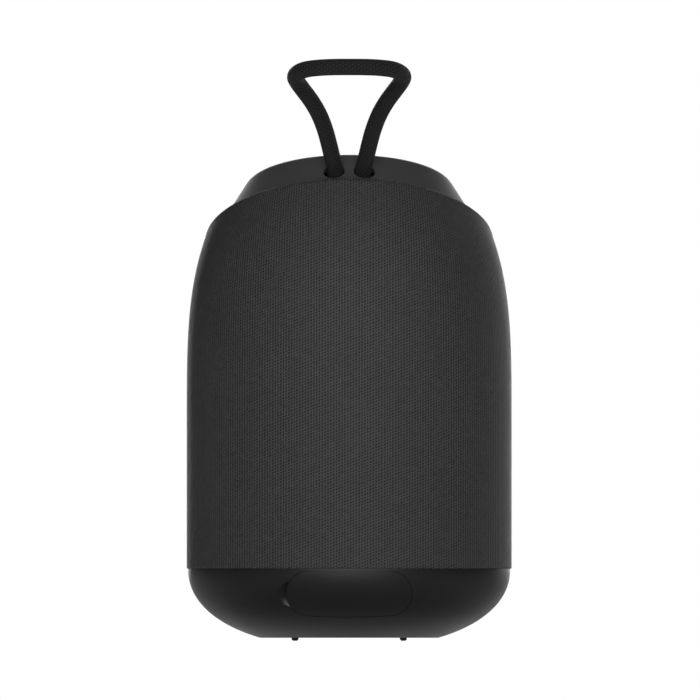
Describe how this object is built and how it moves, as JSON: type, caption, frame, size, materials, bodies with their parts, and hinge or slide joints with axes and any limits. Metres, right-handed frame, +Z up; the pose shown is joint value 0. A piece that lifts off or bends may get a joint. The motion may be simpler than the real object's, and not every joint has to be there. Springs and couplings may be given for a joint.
{
  "type": "shower speaker",
  "caption": "Portable waterproof speaker with an oval fabric-covered body, slanted control cap, dark moulded base with a hinged port cover, and a braided cord loop.",
  "frame": {"origin": "under the middle of the body, on the plane that the feet stand on", "axes": "+Z up; -Y towards the front with the volume symbols and the low side of the slanted cap; +Y towards the rear with the cord loop and the port cover; +X towards the left of someone who looks at the rear"},
  "size_m": [0.162, 0.1628, 0.2901],
  "materials": {
    "knit_fabric": "matte",
    "braided_cord": "matte",
    "cap_plastic": "satin",
    "base_plastic": "satin",
    "inner_plastic": "matte",
    "soft_rubber": "matte",
    "symbol_rubber": "matte",
    "steel": "satin",
    "driver_frame": "satin",
    "driver_cone": "matte",
    "heat_sink_alloy": "satin",
    "circuit_board": "satin",
    "cell_wrap": "satin",
    "lead_sleeve": "satin",
    "light_pipe": "gloss"
  },
  "bodies": {
    "speaker_body": {"fabric_sleeve": "knit_fabric", "front_shell": "inner_plastic", "rear_shell": "inner_plastic", "top_cap": "cap_plastic", "rim_ring": "cap_plastic", "cap_gasket": "soft_rubber", "status_light": "light_pipe", "control_board": "circuit_board", "power_switch": "steel", "play_switch": "steel", "pairing_switch": "steel", "boost_switch": "steel", "strap_clamp": "inner_plastic", "strap_end_left": "braided_cord", "strap_end_right": "braided_cord", "base": "base_plastic", "foot_front_left": "soft_rubber", "foot_rear_left": "soft_rubber", "foot_front_right": "soft_rubber", "foot_rear_right": "soft_rubber", "base_screw_front_left": "steel", "base_screw_rear_left": "steel", "base_screw_front_right": "steel", "base_screw_rear_right": "steel", "chassis_plate": "inner_plastic", "base_gasket": "soft_rubber", "port_plate": "inner_plastic", "usb_socket": "steel", "charging_board": "circuit_board", "volume_up_switch": "steel", "volume_down_switch": "steel", "volume_board": "circuit_board", "woofer_baffle": "inner_plastic", "woofer_basket": "driver_frame", "woofer_magnet": "driver_frame", "full_range_frame_left": "inner_plastic", "full_range_magnet_left": "driver_frame", "full_range_frame_right": "inner_plastic", "full_range_magnet_right": "driver_frame", "battery_tray": "inner_plastic", "battery_cell_1": "cell_wrap", "battery_cell_2": "cell_wrap", "battery_cell_3": "cell_wrap", "battery_cell_4": "cell_wrap", "main_board": "circuit_board", "heat_sink": "heat_sink_alloy", "woofer_lead": "lead_sleeve", "battery_lead": "lead_sleeve"},
    "strap": {"strap_loop": "braided_cord"},
    "port_cover_flap": {"port_cover": "base_plastic", "port_cover_seal": "soft_rubber"},
    "power_key": {"power_button": "soft_rubber"},
    "play_key": {"play_button": "soft_rubber"},
    "pairing_key": {"pairing_button": "soft_rubber"},
    "boost_key": {"boost_button": "soft_rubber"},
    "volume_up_key": {"volume_up_button": "symbol_rubber"},
    "volume_down_key": {"volume_down_button": "symbol_rubber"},
    "woofer_mover": {"woofer_cone": "driver_cone"},
    "full_range_mover_left": {"full_range_cone_left": "driver_cone"},
    "full_range_mover_right": {"full_range_cone_right": "driver_cone"}
  },
  "joints": [
    {"name": "strap_swing", "type": "hinge", "parent": "speaker_body", "child": "strap", "pos_m": [0, 0.03243, 0.23605], "axis": [1, 0, 0], "range_deg": [-35, 45], "stiffness_Nm_per_rad": 0.15, "springref_deg": 2.29},
    {"name": "port_cover_hinge", "type": "hinge", "parent": "speaker_body", "child": "port_cover_flap", "pos_m": [-0.0316, 0.05103, 0.02175], "axis": [0, 0.4067, 0.9135], "range_deg": [0, 100]},
    {"name": "power_press", "type": "slide", "parent": "speaker_body", "child": "power_key", "axis": [0, 0.515, -0.8572], "range_m": [0, 0.0005], "stiffness_N_per_m": 300, "springref_m": -0.0005},
    {"name": "play_press", "type": "slide", "parent": "speaker_body", "child": "play_key", "axis": [0, 0.515, -0.8572], "range_m": [0, 0.0005], "stiffness_N_per_m": 300, "springref_m": -0.0005},
    {"name": "pairing_press", "type": "slide", "parent": "speaker_body", "child": "pairing_key", "axis": [0, 0.515, -0.8572], "range_m": [0, 0.0005], "stiffness_N_per_m": 300, "springref_m": -0.0005},
    {"name": "boost_press", "type": "slide", "parent": "speaker_body", "child": "boost_key", "axis": [0, 0.515, -0.8572], "range_m": [0, 0.0005], "stiffness_N_per_m": 300, "springref_m": -0.0005},
    {"name": "volume_up_press", "type": "slide", "parent": "speaker_body", "child": "volume_up_key", "axis": [0, 1, 0], "range_m": [0, 0.0008], "stiffness_N_per_m": 400, "springref_m": -0.0005},
    {"name": "volume_down_press", "type": "slide", "parent": "speaker_body", "child": "volume_down_key", "axis": [0, 1, 0], "range_m": [0, 0.0008], "stiffness_N_per_m": 400, "springref_m": -0.0005},
    {"name": "woofer_stroke", "type": "slide", "parent": "speaker_body", "child": "woofer_mover", "axis": [0, 1, 0], "range_m": [-0.0035, 0.0035], "stiffness_N_per_m": 1500},
    {"name": "full_range_stroke_left", "type": "slide", "parent": "speaker_body", "child": "full_range_mover_left", "axis": [1, 0, 0], "range_m": [-0.001, 0.001], "stiffness_N_per_m": 500},
    {"name": "full_range_stroke_right", "type": "slide", "parent": "speaker_body", "child": "full_range_mover_right", "axis": [-1, 0, 0], "range_m": [-0.001, 0.001], "stiffness_N_per_m": 500}
  ]
}
